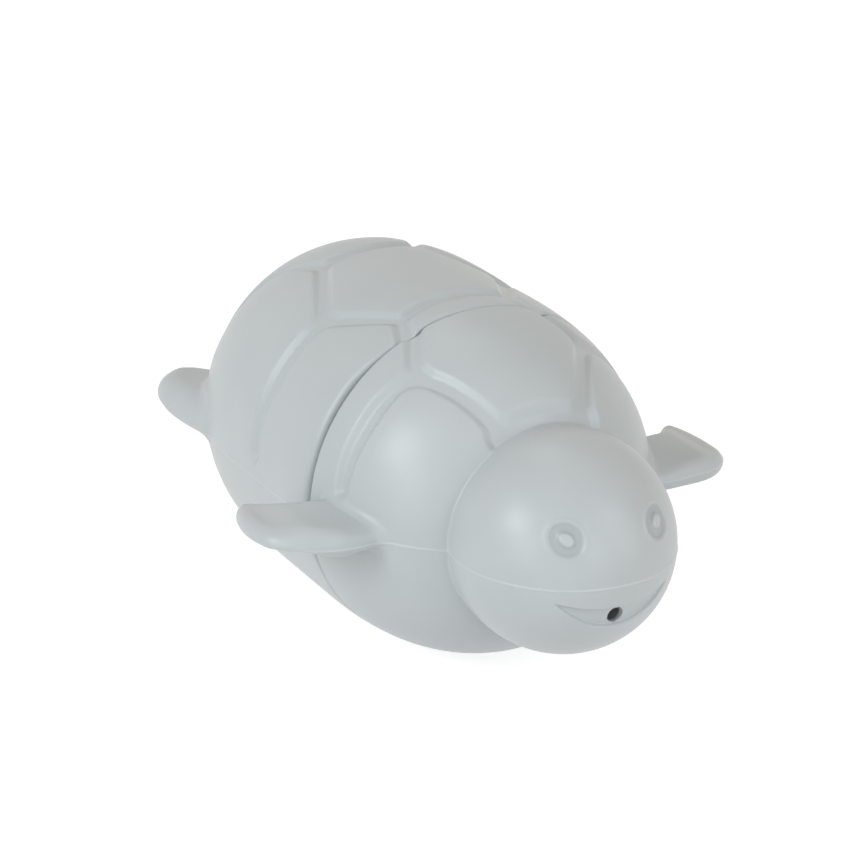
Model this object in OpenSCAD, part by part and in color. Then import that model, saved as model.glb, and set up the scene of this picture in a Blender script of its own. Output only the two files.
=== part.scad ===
// Turtle bath toy in two soft moulded halves, with a squeaker behind its mouth.
// The halves push together on a round plug, and pull apart for cleaning.
// Millimetres. The head points to -Y and the back of the shell to +Z.
// The origin is the middle of the toy's footprint, on the surface it stands on.

/* [Body] */
// Greatest diameter of the barrel-shaped body
body_d = 70.8; // [66:0.1:80]
// How far the body's front end reaches ahead of the seam
body_front = 31.8; // [29:0.1:38]
// How far the body's rear end reaches behind the seam
body_rear = 70.8; // [64:0.1:84]
// Where the body becomes full width, behind the seam
full_width_from = 13; // [9:0.5:18]
// Where the body starts to narrow towards the rear, behind the seam
full_width_to = 29.5; // [26:0.5:36]
// Wall thickness of the moulded halves
wall = 3; // [2.4:0.1:3.6]
// How much of the round belly is cut flat, so that the toy stands
belly_flat = 1.2; // [0.6:0.1:1.6]

/* [Shell plates] */
// Width of the grooves between the plates
groove_w = 3; // [2:0.1:4]
// Depth of the grooves between the plates
groove_depth = 0.9; // [0.4:0.1:1.3]

/* [Head] */
// Diameter of the head, seen from the front
head_d = 42.3; // [36:0.1:46]
// Length of the head along the body's axis
head_len = 43.8; // [38:0.1:48]
// Distance from the seam to the middle of the head
head_reach = 33; // [29:0.5:38]
// Diameter of the ring sunk around each eye
eye_ring_d = 6.6; // [5:0.1:8]
// Diameter of the raised pupil
pupil_d = 2.9; // [2:0.1:4]
// Depth of the eye ring
eye_depth = 0.5; // [0.2:0.1:0.9]
// Angle from the front round to each eye
eye_turn = 27.5; // [20:0.5:38]
// Angle up from the middle of the head to each eye
eye_rise = 22.3; // [12:0.5:32]
// Width of the smile
smile_w = 24.6; // [18:0.1:28]
// Drop of the smile's upper edge from its corners to its middle
smile_upper_drop = 1.4; // [0.8:0.1:2.2]
// Drop of the smile's lower edge from its corners to its middle
smile_lower_drop = 5.5; // [4.6:0.1:7]
// Height of the smile's corners below the middle of the head
smile_below = 3.3; // [2:0.1:5]
// Depth of the smile
smile_depth = 1.1; // [0.5:0.1:1.6]
// Diameter of the squirt hole in the mouth
squirt_hole_d = 2.8; // [2:0.1:3.6]
// Height of the squirt hole below the middle of the head
squirt_hole_below = 6.2; // [5:0.1:7]

/* [Front flippers] */
// Distance from the middle of the toy to a front flipper's tip
front_flipper_reach = 50.5; // [46:0.5:58]
// Width of a front flipper, front to back
front_flipper_chord = 22.6; // [18:0.1:26]
// Thickness of a front flipper where it leaves the body
front_flipper_thick = 9; // [6:0.1:11]
// Distance ahead of the seam to the widest place of a front flipper
front_flipper_ahead = 10.6; // [9.6:0.1:13]
// How far a front flipper's tip lies behind its widest place
front_flipper_sweep = 9; // [4:0.5:10]

/* [Rear flippers] */
// Distance from the middle of the toy to a rear flipper's outer edge
rear_flipper_reach = 36.2; // [34:0.1:40]
// Width of a rear flipper's root along the body
rear_flipper_chord = 24; // [18:0.5:28]
// Thickness of a rear flipper where it leaves the body
rear_flipper_thick = 12; // [8:0.1:13]
// Distance behind the seam to the widest place of a rear flipper
rear_flipper_behind = 62; // [56:0.5:66]
// How far a rear flipper's tip lies behind its widest place
rear_flipper_sweep = 9.5; // [7:0.5:14]

/* [Seam and plug] */
// Gap between the rims of the two halves
seam_gap = 0.4; // [0.1:0.1:0.8]
// Bevel on the outer edge of the front rim
front_rim_bevel = 0.5; // [0.2:0.1:1]
// Bevel on the outer edge of the rear rim
rear_rim_bevel = 1; // [0.4:0.1:1.6]
// How far the plug reaches into the rear half
plug_len = 11; // [7:0.5:16]
// Thickness of the plug's wall
plug_wall = 2.4; // [1.6:0.1:3.2]
// Gap between the plug's wall and the socket, beside the sealing ribs
plug_play = 0.5; // [0.3:0.05:0.8]
// Radial clearance between the sealing ribs and the socket
rib_fit = 0.08; // [0.02:0.01:0.1]
// Width of a sealing rib
rib_w = 1.2; // [0.8:0.1:2]
// Number of sealing ribs
rib_count = 2; // [1:1:3]
// Length of the thick band that carries the plug inside the front half
plug_root_len = 7; // [5:0.5:10]

/* [Squeaker] */
// Outer diameter of the squeaker
squeaker_d = 14; // [12:0.1:15]
// Length of the squeaker's housing, without its cap
housing_len = 8; // [7:0.1:10]
// Wall thickness of the housing
housing_wall = 1; // [0.8:0.1:1.3]
// Diameter of the air hole in the front of the housing
air_hole_d = 2.4; // [1.6:0.1:3]
// Thickness of the cap's flange
cap_thick = 1; // [0.8:0.1:1.6]
// Depth of the cap's spigot inside the housing
cap_spigot = 1.2; // [0.8:0.1:1.8]
// Diameter of the air holes in the cap
cap_hole_d = 1.6; // [1:0.1:2]
// Number of air holes in the cap
cap_holes = 6; // [3:1:8]
// Distance from the tip of the head to the squeaker's front
muzzle_depth = 8.4; // [7.6:0.1:10]
// Thickness of the moulded collar around the squeaker
collar_wall = 1.8; // [1.2:0.1:2.4]
// How far the collar's lip reaches in behind the squeaker
lip_reach = 1.4; // [0.8:0.1:2]
// Thickness of the collar's lip
lip_thick = 1.4; // [1:0.1:2]
// Play of the squeaker in its collar
squeaker_play = 0.1; // [0.05:0.05:0.2]

/* [Reed] */
// Thickness of the reed block's base
block_base = 1; // [0.8:0.1:1.4]
// Diameter of the reed block's tongue
tongue_d = 6; // [5:0.1:7]
// Length of the reed block's tongue
tongue_len = 4.4; // [3.6:0.1:4.8]
// Width of the air channel under the reed
channel_w = 1.6; // [1:0.1:2]
// Depth of the air channel under the reed
channel_depth = 1.4; // [1:0.1:1.8]
// Length of the reed
reed_len = 4.2; // [3.4:0.1:4.4]
// Width of the reed
reed_w = 2.6; // [2.2:0.1:3]
// Thickness of the reed
reed_thick = 0.2; // [0.1:0.05:0.3]
// Height of the reed over the tongue's flat
reed_lift = 0.1; // [0.08:0.01:0.15]
// Length of the clamp that holds the reed's root
clamp_len = 1.2; // [1:0.1:1.6]
// Clearance around the reed's root in the clamp
reed_fit = 0.1; // [0.08:0.01:0.15]

/* [Hidden] */

silicone = [0.73, 0.77, 0.78];
white_plastic = [0.93, 0.93, 0.91];
amber_film = [0.83, 0.68, 0.42];

// Length by which a cut runs past the face it opens
overrun = 1;
// Numbers of sides and of steps
round_fn = 96;
blend_fn = 20;
body_steps = 12;
head_steps = 22;

// How square the body's ends are: 2 is an ellipse, more is blunter
front_fullness_share = 2.5;
rear_fullness_share = 2.9;

// A flipper is two rounded blocks drawn together, and a tip drawn out behind them.
// Each row: place out from the middle, place back along the sweep, half size out, half
// size along the body, thickness and height, as shares of the flipper's own sizes.
front_root_shares = [0.61, 0.14, 0.10, 0.40, 0.95, 0.02];
front_wide_shares = [0.77, 0, 0.165, 0.50, 0.62, 0];
front_core_shares = [0.805, 0.05, 0.13, 0.46, 0.56, 0];
front_tip_shares = [0.905, 0.95, 0.095, 0.30, 0.42, -0.02];
rear_root_shares = [0.66, -0.42, 0.27, 0.46, 1.0, -0.075];
rear_wide_shares = [0.78, 0, 0.22, 0.42, 0.74, -0.075];
rear_core_shares = [0.79, 0.1, 0.20, 0.38, 0.68, -0.07];
rear_tip_shares = [0.81, 1, 0.165, 0.25, 0.50, -0.01];

body_r = body_d / 2;
axis_height = body_r - belly_flat;
head_r = head_d / 2;
head_tip = head_reach + head_len / 2;
flipper_end = rear_flipper_behind + rear_flipper_sweep + rear_tip_shares[3] * rear_flipper_chord;
// Places the middle of the toy's length over the origin
row_y = (head_tip - flipper_end) / 2;

// Radius of the body's surface at a distance y behind the seam
function end_share(t, fullness) = pow(1 - pow(min(t, 1), fullness), 1 / fullness);
function body_radius(y) =
    y < full_width_from
        ? body_r * end_share((full_width_from - y) / (full_width_from + body_front), front_fullness_share)
        : body_r * end_share(max(y - full_width_to, 0) / (body_rear - full_width_to), rear_fullness_share);

// Half outline of the body, drawn in by an inset, from its front end to its rear end
function body_outline(inset) =
    let (
        r = body_r - inset,
        front = full_width_from + body_front - inset,
        rear = body_rear - full_width_to - inset,
        front_power = 2 / front_fullness_share,
        rear_power = 2 / rear_fullness_share
    )
    concat(
        [for (i = [0:body_steps]) let (a = 90 * i / body_steps)
            [r * pow(sin(a), front_power), full_width_from - front * pow(cos(a), front_power)]],
        [for (i = [body_steps:-1:0]) let (a = 90 * i / body_steps)
            [r * pow(sin(a), rear_power), full_width_to + rear * pow(cos(a), rear_power)]]
    );

function head_outline(inset) =
    [for (i = [0:head_steps]) let (a = 180 * i / head_steps)
        [(head_r - inset) * sin(a), -head_reach - (head_len / 2 - inset) * cos(a)]];

// Turns a half outline round the body's axis
module spin(points) {
    rotate([-90, 0, 0])
        rotate_extrude($fn = round_fn)
            polygon(points);
}

// A round bar on the body's axis, from one distance behind the seam to another
module axial_bar(r, from, to) {
    translate([0, from, 0])
        rotate([-90, 0, 0])
            cylinder(r = r, h = to - from, $fn = round_fn);
}

module body_form(inset) {
    spin(body_outline(inset));
}

module head_form(inset) {
    spin(head_outline(inset));
}

// Everything that lies further back than y, in the size of the toy
module behind(y) {
    translate([-front_flipper_reach - overrun, y, -body_d])
        cube([2 * (front_flipper_reach + overrun), body_rear + flipper_end, 2 * body_d]);
}

module ahead_of(y) {
    mirror([0, 1, 0])
        behind(-y);
}

module below_belly() {
    translate([-body_r, -head_tip, -2 * body_r + belly_flat])
        mirror([0, 0, 1])
            translate([0, 0, -body_r])
                cube([body_d, head_tip + flipper_end, body_r]);
}

// Grooves between the plates. Each corner is a share of the length of its end of the
// body, counted back from the seam, and an angle in degrees from the top of the back.
corner_a_shares = [0.076, 21.5];
corner_b_shares = [-0.286, 35];
corner_c_shares = [-0.755, 24];
corner_d_shares = [0.328, 37];
corner_e_shares = [0.606, 20];
front_foot_shares = [-0.245, 58];
front_toe_shares = [-0.24, 79];
rear_foot_shares = [0.35, 62];
rear_toe_shares = [0.36, 87];
tail_corner_shares = [0.736, 37.5];
tail_end_shares = [0.87, 62];

function corner_y(c) = c[0] * (c[0] < 0 ? body_front : body_rear);
function corner_point(c) =
    let (y = corner_y(c), r = body_radius(y))
    [r * sin(c[1]), y, r * cos(c[1])];
function other_side(c) = [c[0], -c[1]];

// One straight stretch of groove, cut across the surface between two corners
module groove(from, to) {
    p = corner_point(from);
    q = corner_point(to);
    turn = (from[1] + to[1]) / 2;
    along = (q - p) / norm(q - p);
    outward = [sin(turn), 0, cos(turn)];
    rise = outward - (outward * along) * along;
    up = rise / norm(rise);
    side = cross(up, along);
    middle = (p + q) / 2;
    multmatrix([
        [along[0], side[0], up[0], middle[0]],
        [along[1], side[1], up[1], middle[1]],
        [along[2], side[2], up[2], middle[2]],
        [0, 0, 0, 1]
    ])
        cube([norm(q - p) + groove_w, groove_w, 4 * groove_w], center = true);
}

// The same stretch on both sides of the back
module groove_pair(from, to) {
    groove(from, to);
    groove(other_side(from), other_side(to));
}

module front_grooves() {
    groove_pair(corner_a_shares, corner_b_shares);
    groove_pair(corner_b_shares, corner_c_shares);
    groove_pair(corner_b_shares, front_foot_shares);
    groove_pair(front_foot_shares, front_toe_shares);
    groove(corner_c_shares, other_side(corner_c_shares));
}

module rear_grooves() {
    groove_pair(corner_a_shares, corner_b_shares);
    groove_pair(corner_a_shares, corner_d_shares);
    groove_pair(corner_d_shares, rear_foot_shares);
    groove_pair(rear_foot_shares, rear_toe_shares);
    groove_pair(corner_d_shares, corner_e_shares);
    groove_pair(corner_e_shares, tail_corner_shares);
    groove_pair(tail_corner_shares, tail_end_shares);
    groove(corner_a_shares, other_side(corner_a_shares));
    groove(corner_e_shares, other_side(corner_e_shares));
}

module flipper_block(shares, reach, chord, thick, place, sweep) {
    // The unit ball is made a little larger, so that its faceted form reaches full size
    translate([shares[0] * reach, place + shares[1] * sweep, shares[5] * thick])
        scale([shares[2] * reach, shares[3] * chord, shares[4] * thick / 2])
            sphere(r = 1 / cos(180 / blend_fn), $fn = blend_fn);
}

module front_flipper_block(shares) {
    flipper_block(shares, front_flipper_reach, front_flipper_chord, front_flipper_thick,
        -front_flipper_ahead, front_flipper_sweep);
}

module rear_flipper_block(shares) {
    flipper_block(shares, rear_flipper_reach, rear_flipper_chord, rear_flipper_thick,
        rear_flipper_behind, rear_flipper_sweep);
}

module front_flipper() {
    hull() {
        front_flipper_block(front_root_shares);
        front_flipper_block(front_wide_shares);
    }
    hull() {
        front_flipper_block(front_core_shares);
        front_flipper_block(front_tip_shares);
    }
}

module rear_flipper() {
    hull() {
        rear_flipper_block(rear_root_shares);
        rear_flipper_block(rear_wide_shares);
    }
    hull() {
        rear_flipper_block(rear_core_shares);
        rear_flipper_block(rear_tip_shares);
    }
}

// Places what it holds on both sides of the toy
module both_sides() {
    children();
    mirror([1, 0, 0])
        children();
}

// Sizes of the plug and of the socket that it fits
socket_r = body_radius(0) - wall;
plug_r = socket_r - plug_play;
plug_bore_r = plug_r - plug_wall;
rib_r = socket_r - rib_fit;
socket_len = plug_len + overrun;
rib_step = plug_len / (rib_count + 0.5);

module plug() {
    axial_bar(plug_r, -plug_root_len, plug_len);
    for (i = [1:rib_count])
        axial_bar(rib_r, i * rib_step - rib_w / 2, i * rib_step + rib_w / 2);
}

// Ring that bevels the outer edge of a rim: side is -1 ahead of the seam and 1 behind it
module rim_bevel(side, bevel) {
    rim_r = body_radius(side * seam_gap / 2);
    spin([
        [rim_r - bevel, side * (seam_gap / 2 - overrun)],
        [rim_r - bevel, side * seam_gap / 2],
        [rim_r + bevel, side * (seam_gap / 2 + 2 * bevel)],
        [rim_r + bevel, side * (seam_gap / 2 - overrun)]
    ]);
}

// Squeaker's place: its axis is level, behind the squirt hole
squeaker_r = squeaker_d / 2;
squeaker_len = housing_len + cap_thick;
squeaker_y = muzzle_depth - head_tip;
pocket_r = squeaker_r + squeaker_play;
pocket_end = squeaker_y + squeaker_len + squeaker_play;
collar_r = pocket_r + collar_wall;
housing_bore_r = squeaker_r - housing_wall;

module squeaker_bar(r, from, to) {
    translate([0, 0, -squirt_hole_below])
        axial_bar(r, from, to);
}

module collar() {
    intersection() {
        head_form(wall / 2);
        squeaker_bar(collar_r, -head_tip, pocket_end + lip_thick);
    }
}

module squeaker_space() {
    squeaker_bar(pocket_r, squeaker_y, pocket_end);
    squeaker_bar(pocket_r - lip_reach, squeaker_y, pocket_end + lip_thick + overrun);
    squeaker_bar(squirt_hole_d / 2, -head_tip - overrun, squeaker_y + overrun);
}

// Hollow of the front half: the inside of the head and of the body up to the plug's root
module front_hollow() {
    difference() {
        union() {
            head_form(wall);
            intersection() {
                body_form(wall);
                ahead_of(-plug_root_len);
            }
            axial_bar(plug_bore_r, -plug_root_len - overrun, plug_len + overrun);
        }
        collar();
    }
}

module rear_hollow() {
    axial_bar(socket_r, -overrun, socket_len);
    intersection() {
        body_form(wall);
        behind(socket_len - overrun);
    }
}

// The body's outside, with the grooves between its plates
module grooved_body() {
    difference() {
        body_form(0);
        difference() {
            children();
            body_form(groove_depth);
        }
    }
}

// Ring sunk round an eye, with the pupil left standing
module eye() {
    translate([0, -head_reach, 0])
        rotate([0, 0, eye_turn])
            rotate([-eye_rise, 0, 0])
                rotate([90, 0, 0])
                    translate([0, 0, head_r - eye_depth])
                        difference() {
                            cylinder(d = eye_ring_d, h = head_r, $fn = round_fn);
                            cylinder(d = pupil_d, h = head_r, $fn = round_fn);
                        }
}

// Radius of an arc of a given width and drop
function arc_radius(width, drop) = (width * width / 4 + drop * drop) / (2 * drop);

module smile() {
    upper_r = arc_radius(smile_w, smile_upper_drop);
    lower_r = arc_radius(smile_w, smile_lower_drop);
    difference() {
        translate([0, -head_reach, -smile_below])
            rotate([90, 0, 0])
                linear_extrude(height = head_len)
                    difference() {
                        translate([0, lower_r - smile_lower_drop])
                            circle(r = lower_r, $fn = round_fn);
                        translate([0, upper_r - smile_upper_drop])
                            circle(r = upper_r, $fn = round_fn);
                    }
        head_form(smile_depth);
    }
}

// Places a finished half or squeaker piece in the toy's own frame
module placed() {
    translate([0, row_y, axis_height])
        children();
}

// Front half: shell, head, front flippers, plug and squeaker collar in one moulding
module front_half() {
    color(silicone)
        placed()
            difference() {
                union() {
                    intersection() {
                        grooved_body()
                            front_grooves();
                        ahead_of(-seam_gap / 2);
                    }
                    head_form(0);
                    plug();
                    both_sides()
                        front_flipper();
                }
                front_hollow();
                squeaker_space();
                both_sides()
                    eye();
                smile();
                rim_bevel(-1, front_rim_bevel);
                below_belly();
            }
}

// Rear half: shell, rear flippers and socket in one moulding
module rear_half() {
    color(silicone)
        placed()
            difference() {
                union() {
                    intersection() {
                        grooved_body()
                            rear_grooves();
                        behind(seam_gap / 2);
                    }
                    both_sides()
                        rear_flipper();
                }
                rear_hollow();
                rim_bevel(1, rear_rim_bevel);
                below_belly();
            }
}

module squeaker_housing() {
    color(white_plastic)
        placed()
            difference() {
                squeaker_bar(squeaker_r, squeaker_y, squeaker_y + housing_len);
                squeaker_bar(housing_bore_r, squeaker_y + housing_wall, squeaker_y + housing_len + overrun);
                squeaker_bar(air_hole_d / 2, squeaker_y - overrun, squeaker_y + housing_wall + overrun);
            }
}

// Places along the squeaker
block_y = squeaker_y + housing_wall;
tongue_y = block_y + block_base;
// The tongue's flat face lies above its middle, and the reed above that face
flat_z = -squirt_hole_below + channel_depth / 2;
reed_z = flat_z + reed_lift;

// A block as wide as given, centred on the squeaker, standing on a height
module squeaker_block(width, from, to, z_low, z_high) {
    translate([-width / 2, from, z_low])
        cube([width, to - from, z_high - z_low]);
}

module reed_block() {
    color(white_plastic)
        placed()
            difference() {
                union() {
                    squeaker_bar(housing_bore_r, block_y, tongue_y);
                    squeaker_bar(tongue_d / 2, tongue_y, tongue_y + tongue_len);
                }
                squeaker_block(tongue_d, tongue_y, tongue_y + tongue_len + overrun,
                    flat_z, flat_z + tongue_d);
                squeaker_block(channel_w, block_y - overrun, tongue_y + tongue_len - block_base,
                    flat_z - channel_depth, flat_z);
            }
}

module reed() {
    color(amber_film)
        placed()
            squeaker_block(reed_w, tongue_y + reed_fit, tongue_y + reed_fit + reed_len,
                reed_z, reed_z + reed_thick);
}

// Half-round wedge over the reed's root, seated on the tongue's flat beside the reed
module reed_clamp() {
    color(white_plastic)
        placed()
            difference() {
                squeaker_bar(tongue_d / 2, tongue_y, tongue_y + clamp_len);
                squeaker_block(tongue_d + overrun, tongue_y - overrun, tongue_y + clamp_len + overrun,
                    flat_z - tongue_d, flat_z);
                squeaker_block(reed_w + 2 * reed_fit, tongue_y - overrun, tongue_y + clamp_len + overrun,
                    flat_z - overrun, reed_z + reed_thick + reed_fit);
            }
}

module squeaker_cap() {
    cap_y = squeaker_y + housing_len;
    color(white_plastic)
        placed()
            difference() {
                union() {
                    squeaker_bar(squeaker_r, cap_y, cap_y + cap_thick);
                    squeaker_bar(housing_bore_r, cap_y - cap_spigot, cap_y);
                }
                squeaker_bar(housing_bore_r - housing_wall, cap_y - cap_spigot - overrun, cap_y);
                for (i = [0:cap_holes - 1])
                    translate([0, 0, -squirt_hole_below])
                        rotate([0, i * 360 / cap_holes, 0])
                            translate([0, 0, squirt_hole_below + (housing_bore_r - housing_wall) / 2])
                                squeaker_bar(cap_hole_d / 2, cap_y - overrun, cap_y + cap_thick + overrun);
            }
}

front_half();
rear_half();
squeaker_housing();
reed_block();
reed();
reed_clamp();
squeaker_cap();
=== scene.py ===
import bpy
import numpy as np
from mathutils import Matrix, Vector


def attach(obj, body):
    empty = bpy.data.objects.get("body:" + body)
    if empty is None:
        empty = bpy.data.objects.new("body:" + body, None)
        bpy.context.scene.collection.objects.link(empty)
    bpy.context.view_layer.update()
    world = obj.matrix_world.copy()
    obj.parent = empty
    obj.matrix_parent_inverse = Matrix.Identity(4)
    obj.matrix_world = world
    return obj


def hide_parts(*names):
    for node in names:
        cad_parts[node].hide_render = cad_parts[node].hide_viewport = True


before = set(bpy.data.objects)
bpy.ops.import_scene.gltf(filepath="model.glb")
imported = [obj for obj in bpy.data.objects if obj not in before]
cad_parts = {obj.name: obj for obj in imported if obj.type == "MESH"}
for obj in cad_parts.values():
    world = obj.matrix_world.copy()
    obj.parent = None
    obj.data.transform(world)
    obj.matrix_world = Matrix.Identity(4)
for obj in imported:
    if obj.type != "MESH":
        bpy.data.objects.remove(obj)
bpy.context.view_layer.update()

# Looks of the turtle bath toy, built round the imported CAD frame.
#
# The two soft halves are made here as detailed meshes. Each half is one distance field in the
# toy's own millimetres: x out from the middle, y back from the seam and z up from the body's
# axis. A coarse net is drawn round the field's zero, then split finely where there is detail
# and laid onto the surface. The hard pieces of the squeaker keep their CAD shapes.

MM = 0.001
# The seam's y and the body axis's z in the frame, in mm
ROW_Y, AXIS_Z = -11.3, 34.2
# Heights of the mould line on the front half, and at the rear half's sides
PARTING_FRONT, PARTING_REAR = -0.9, -2.4
# The x over which the rear half's line falls from the first height to the second
PARTING_FALL_X = 34.0
# The rear half's relief sits a little turned about the long axis, as in the photo
REAR_TURN = 2.4

# The body is widest between two y, and closes to superelliptic ends
BODY_R, FRONT_END, REAR_END = 35.4, -31.8, 70.8
WIDE_FROM, WIDE_TO = 13.0, 29.5
FRONT_POWER, REAR_POWER = 2.5, 2.9
WALL = 3.0
HEAD_Y, HEAD_R, HEAD_HALF = -33.0, 21.15, 21.9
HEAD_TIP = HEAD_Y - HEAD_HALF
# A groove is flat in its middle and rises to the plates over its sides
GROOVE_DEPTH, GROOVE_FLAT, GROOVE_SIDE = 0.95, 1.15, 1.85
PLATE_FALL, PLATE_FALL_WIDTH = 0.14, 2.6


# small tools
def smooth(t):
    t = np.clip(t, 0.0, 1.0)
    return t * t * (3.0 - 2.0 * t)


def smooth_min(a, b, k):
    h = np.maximum(k - np.abs(a - b), 0.0) / k
    return np.minimum(a, b) - 0.25 * k * h * h


def join_round(a, b, r):
    """Union of two fields with a fillet of radius r."""
    u = np.maximum(r - a, 0.0)
    v = np.maximum(r - b, 0.0)
    return np.maximum(r, np.minimum(a, b)) - np.sqrt(u * u + v * v)


def cut_round(a, b, r):
    """Common part of two fields with its edge rounded to radius r."""
    u = np.maximum(r + a, 0.0)
    v = np.maximum(r + b, 0.0)
    return np.minimum(-r, np.maximum(a, b)) + np.sqrt(u * u + v * v)


def curve_through(points, step, closed=False):
    """A smooth curve through rows of numbers, as rows about step apart in their first two."""
    p = np.array(points, float)
    if closed:
        p = np.vstack([p[-1], p, p[0], p[1]])
    else:
        p = np.vstack([2 * p[0] - p[1], p, 2 * p[-1] - p[-2]])
    rows = []
    for i in range(1, len(p) - 2):
        a, b, c, d = p[i - 1], p[i], p[i + 1], p[i + 2]
        n = max(2, int(np.ceil(np.hypot(*(c - b)[:2]) / step)))
        for t in np.arange(n) / n:
            rows.append(0.5 * (2 * b + (c - a) * t + (2 * a - 5 * b + 4 * c - d) * t * t
                               + (3 * b - a - 3 * c + d) * t ** 3))
    if not closed:
        rows.append(p[-2])
    return np.array(rows)


class Table:
    """Values on an even grid, read between its points."""

    def __init__(self, low, step, values):
        self.low, self.step, self.values = low, step, values

    def at(self, u, v):
        n, m = self.values.shape
        i = np.clip((u - self.low[0]) / self.step[0], 0, n - 1.001)
        j = np.clip((v - self.low[1]) / self.step[1], 0, m - 1.001)
        i0, j0 = i.astype(np.int64), j.astype(np.int64)
        s, t = i - i0, j - j0
        w = self.values
        return ((w[i0, j0] * (1 - s) + w[i0 + 1, j0] * s) * (1 - t)
                + (w[i0, j0 + 1] * (1 - s) + w[i0 + 1, j0 + 1] * s) * t)


# body and relief
def body_radius(y):
    ahead = np.clip((WIDE_FROM - y) / (WIDE_FROM - FRONT_END), 0, 1)
    behind = np.clip((y - WIDE_TO) / (REAR_END - WIDE_TO), 0, 1)
    return BODY_R * np.where(y < WIDE_FROM,
                             (1 - ahead ** FRONT_POWER) ** (1 / FRONT_POWER),
                             (1 - behind ** REAR_POWER) ** (1 / REAR_POWER))


def body_distance(y, radius, inset=0.0):
    """Distance outside the body's plain form, drawn in by an inset."""
    r = BODY_R - inset
    front = WIDE_FROM - FRONT_END - inset
    rear = REAR_END - WIDE_TO - inset
    is_front = y < 0.5 * (WIDE_FROM + WIDE_TO)
    u = np.where(is_front, np.maximum(WIDE_FROM - y, 0) / front, np.maximum(y - WIDE_TO, 0) / rear)
    power = np.where(is_front, FRONT_POWER, REAR_POWER)
    length = np.where(is_front, front, rear)
    v = radius / r
    total = np.maximum(u ** power + v ** power, 1e-9)
    f = total ** (1 / power)
    slope = f ** (1 - power) * np.sqrt((u ** (power - 1) / length) ** 2 + (v ** (power - 1) / r) ** 2)
    return (f - 1) / np.maximum(slope, 0.25 / r)


def on_body(y, turn):
    """Points of the body's surface, turn in degrees from the top of the back."""
    r = body_radius(y)
    a = np.radians(turn)
    return np.stack([r * np.sin(a), y, r * np.cos(a)], -1)


def groove_field(cells, path):
    """Distance outside a groove that follows a path of (y, turn, width)."""
    rows = curve_through(path, 2.5)
    p = on_body(rows[:, 0], rows[:, 1])
    half = rows[:, 2] / 2
    best = np.full(len(cells), 99.0)
    for a, b, wa, wb in zip(p[:-1], p[1:], half[:-1], half[1:]):
        ab = b - a
        t = np.clip((cells - a) @ ab / (ab @ ab), 0, 1)
        d = np.linalg.norm(cells - a - t[:, None] * ab, axis=1) - (wa + (wb - wa) * t)
        best = np.minimum(best, d)
    return best


def relief_tables(y_from, y_to, join):
    """Tables over (y, turn) of the grooves' signed distance and of their depth."""
    y_step, turn_step = 0.2, 0.4
    turn_from, turn_to = -4.0, 110.0
    ys = np.arange(y_from, y_to, y_step)
    turns = np.arange(turn_from, turn_to, turn_step)
    yy, tt = np.meshgrid(ys, turns, indexing="ij")
    cells = on_body(np.clip(yy, FRONT_END + 0.5, REAR_END - 0.5).ravel(), tt.ravel())
    d = join(cells).reshape(yy.shape)
    low, step = (y_from, turn_from), (y_step, turn_step)
    depth = GROOVE_DEPTH * (1 - smooth((d + GROOVE_FLAT) / GROOVE_SIDE))
    # Plates fall off a little towards their edges
    depth += PLATE_FALL * np.exp(-(np.maximum(d, 0) / PLATE_FALL_WIDTH) ** 2)
    return Table(low, step, d), Table(low, step, depth)


# Grooves of the shell's plates, each a path of (y, turn, width)
FRONT_AB = [(2.0, 20.6, 3.4), (-1.5, 24.4, 3.3), (-5.0, 28.7, 3.3), (-9.2, 33.2, 3.4)]
FRONT_SIDE = [(-9.2, 33.2, 3.2), (-8.4, 40.5, 3.0), (-7.9, 49.0, 3.7), (-7.7, 58.0, 3.7),
              (-7.35, 67.0, 3.6), (-7.3, 74.0, 3.4), (-7.5, 78.5, 3.2)]
FRONT_NOSE = [(-9.2, 33.2, 3.6), (-12.0, 31.4, 3.9), (-15.0, 29.2, 3.9), (-20.0, 26.3, 3.9),
              (-23.6, 24.6, 4.2), (-26.0, 24.0, 5.0)]
FRONT_COLLAR = [(-25.9, -31.0, 5.2), (-25.9, -15.0, 5.2), (-25.9, 0.0, 5.2), (-25.9, 15.0, 5.2),
                (-25.9, 26.0, 5.0)]
REAR_TOP = [(7.0, -12.0, 3.5), (7.0, 0.0, 3.5), (7.0, 7.0, 3.4), (6.6, 12.6, 3.1), (6.0, 19.5, 3.1)]
REAR_AB = [(6.0, 19.5, 3.2), (3.0, 21.3, 3.7), (-2.0, 24.8, 4.2)]
REAR_AD = [(6.0, 19.5, 3.1), (13.5, 26.2, 3.6), (20.0, 31.8, 3.6), (23.2, 34.4, 3.8)]
REAR_SIDE = [(23.2, 34.4, 3.8), (23.4, 39.6, 4.0), (23.6, 44.6, 4.2), (24.0, 52.6, 4.3),
             (24.4, 62.6, 4.2), (24.7, 71.6, 3.9), (24.8, 78.8, 3.4), (24.6, 83.0, 2.8)]
REAR_DE = [(23.2, 34.4, 3.7), (33.0, 25.0, 3.6), (40.9, 18.3, 3.6)]
REAR_EE = [(40.9, 18.3, 3.6), (40.9, 9.0, 3.6), (40.9, 0.0, 3.6), (40.9, -8.0, 3.6)]
REAR_TAIL = [(40.9, 18.3, 3.4), (46.0, 21.6, 3.2), (50.6, 25.0, 3.0), (53.2, 30.6, 3.0),
             (55.0, 37.6, 3.0), (57.2, 47.6, 3.0), (59.0, 57.6, 2.8)]


def front_network(cells):
    side = groove_field(cells, FRONT_SIDE)
    nose = groove_field(cells, FRONT_NOSE)
    d = smooth_min(side, nose, 3.2)
    d = smooth_min(d, groove_field(cells, FRONT_COLLAR), 1.6)
    return smooth_min(d, groove_field(cells, FRONT_AB), 0.8)


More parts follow.
